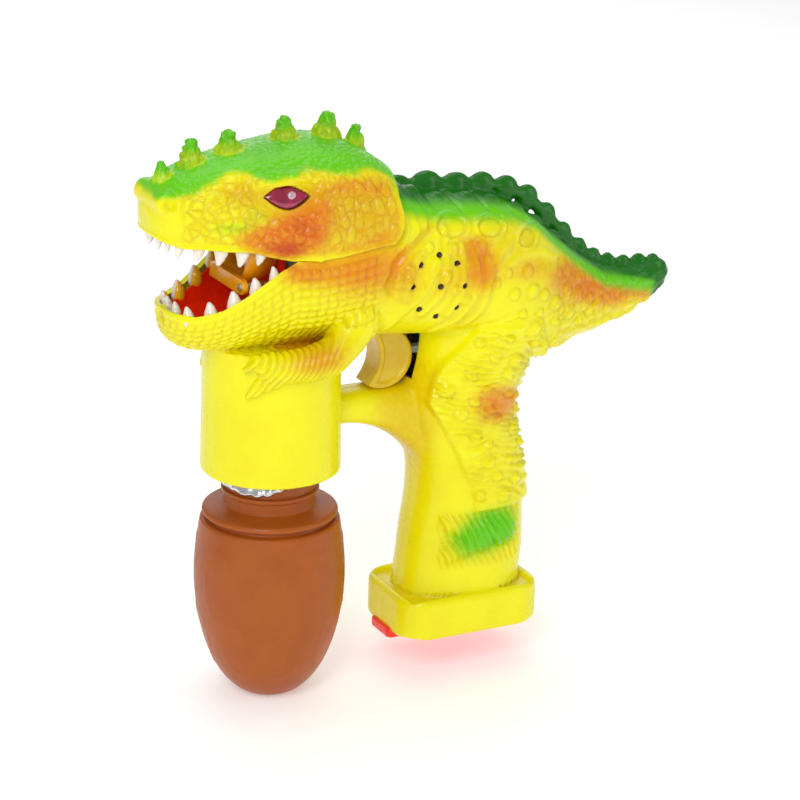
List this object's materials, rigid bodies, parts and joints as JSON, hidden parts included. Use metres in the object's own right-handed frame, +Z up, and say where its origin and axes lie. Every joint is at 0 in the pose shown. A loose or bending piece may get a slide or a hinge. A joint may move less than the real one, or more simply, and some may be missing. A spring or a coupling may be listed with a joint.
{
  "type": "bubble machine",
  "caption": "Hand-held battery bubble blower in a dinosaur-shaped casing, with a ring and wiper in its mouth, a trigger grip and a screw-in egg-shaped bottle.",
  "frame": {"origin": "under the middle of the toy, level with the foot of the bottle", "axes": "+X towards the tail, +Y towards the toy's right side, +Z up along the bottle's axis"},
  "size_m": [0.2336, 0.071, 0.2351],
  "materials": {
    "shell": "glossy lemon yellow with airbrushed green and orange",
    "head": "glossy yellow-green with airbrushed green crest",
    "ivory": "cream white, satin",
    "amber": "amber orange, satin",
    "trigger": "ochre yellow, glossy",
    "red": "bright red, satin",
    "wire": "red insulation",
    "egg": "terracotta brown, satin",
    "foil": "crumpled bright foil",
    "lens": "tinted magenta, polished",
    "lamp": "clear, polished",
    "white": "natural white",
    "silicone": "translucent silicone",
    "black": "black",
    "board": "green solder mask",
    "cell": "plain printed sleeve",
    "steel": "plated steel"
  },
  "bodies": {
    "casing": {"battery_frame": "black", "battery_wire": "wire", "bubble_ring": "amber", "cell_1": "cell", "cell_2": "cell", "cell_3": "cell", "circuit_board": "board", "contact_spring_1": "steel", "contact_spring_2": "steel", "contact_spring_3": "steel", "dip_tube": "silicone", "fan_housing": "white", "head_cover": "head", "left_eye_lamp": "lamp", "left_eye_lens": "lens", "left_shell": "shell", "motor": "steel", "motor_wire": "wire", "mouth_lining": "red", "neck_gasket": "silicone", "neck_socket": "white", "power_switch": "black", "pump_axle": "steel", "pump_hose": "silicone", "pump_housing": "white", "right_eye_lamp": "lamp", "right_eye_lens": "lens", "right_shell": "shell", "shell_screw_1": "steel", "shell_screw_2": "steel", "shell_screw_3": "steel", "shell_screw_4": "steel", "shell_screw_5": "steel", "shell_screw_6": "steel", "speaker": "black", "trigger_pin": "steel", "trigger_spring": "steel", "upper_teeth": "ivory"},
    "trigger": {"trigger": "trigger"},
    "switch_button": {"switch_button": "white"},
    "wiper": {"wiper_arm": "amber", "wiper_shaft": "steel", "wiper_crank": "white"},
    "rotor": {"motor_shaft": "steel", "fan_wheel": "white", "motor_pinion": "white"},
    "pump_rotor": {"pump_wheel": "white", "pump_roller_1": "steel", "pump_roller_2": "steel", "pump_roller_3": "steel"},
    "foil": {"foil_seal": "foil"},
    "bottle": {"bottle": "egg"},
    "battery_door": {"battery_cover": "red", "cell_plate": "steel"},
    "cover_screw": {"cover_screw": "steel"}
  },
  "joints": [
    {"name": "trigger_pull", "type": "hinge", "parent": "casing", "child": "trigger", "pos_m": [-0.01425, 0, 0.157], "axis": [0, -1, 0], "range_deg": [0, 9], "stiffness_Nm_per_rad": 0.35, "springref_deg": -8.59},
    {"name": "switch_push", "type": "slide", "parent": "casing", "child": "switch_button", "axis": [1, 0, 0], "range_m": [0, 0.0031]},
    {"name": "wiper_swing", "type": "hinge", "parent": "casing", "child": "wiper", "pos_m": [-0.08225, -0.0155, 0.177], "axis": [1, 0, 0], "range_deg": [0, 66]},
    {"name": "motor_turn", "type": "hinge", "parent": "casing", "child": "rotor", "pos_m": [-0.01325, 0, 0.189], "axis": [1, 0, 0], "continuous": true},
    {"name": "pump_turn", "type": "hinge", "parent": "casing", "child": "pump_rotor", "pos_m": [0.00375, 0, 0.1743], "axis": [1, 0, 0], "continuous": true},
    {"name": "bottle_rise", "type": "slide", "parent": "casing", "child": "foil", "axis": [0, 0, 1], "range_m": [0, 0.0156]},
    {"name": "bottle_turn", "type": "hinge", "parent": "foil", "child": "bottle", "pos_m": [-0.06325, 0, 0.05], "axis": [0, 0, 1], "range_deg": [0, 700]},
    {"name": "cover_pull", "type": "slide", "parent": "casing", "child": "battery_door", "axis": [0, 0, -1], "range_m": [0, 0.03]},
    {"name": "cover_screw_turn", "type": "hinge", "parent": "battery_door", "child": "cover_screw", "pos_m": [-0.00275, 0, 0.018], "axis": [0, 0, -1], "continuous": true}
  ],
  "couplings": [
    {"joint": "switch_push", "follows": "trigger_pull", "m_per_rad": 0.019099},
    {"joint": "pump_turn", "follows": "motor_turn", "ratio": -0.33333},
    {"joint": "bottle_rise", "follows": "bottle_turn", "m_per_rad": 0.0012732}
  ]
}
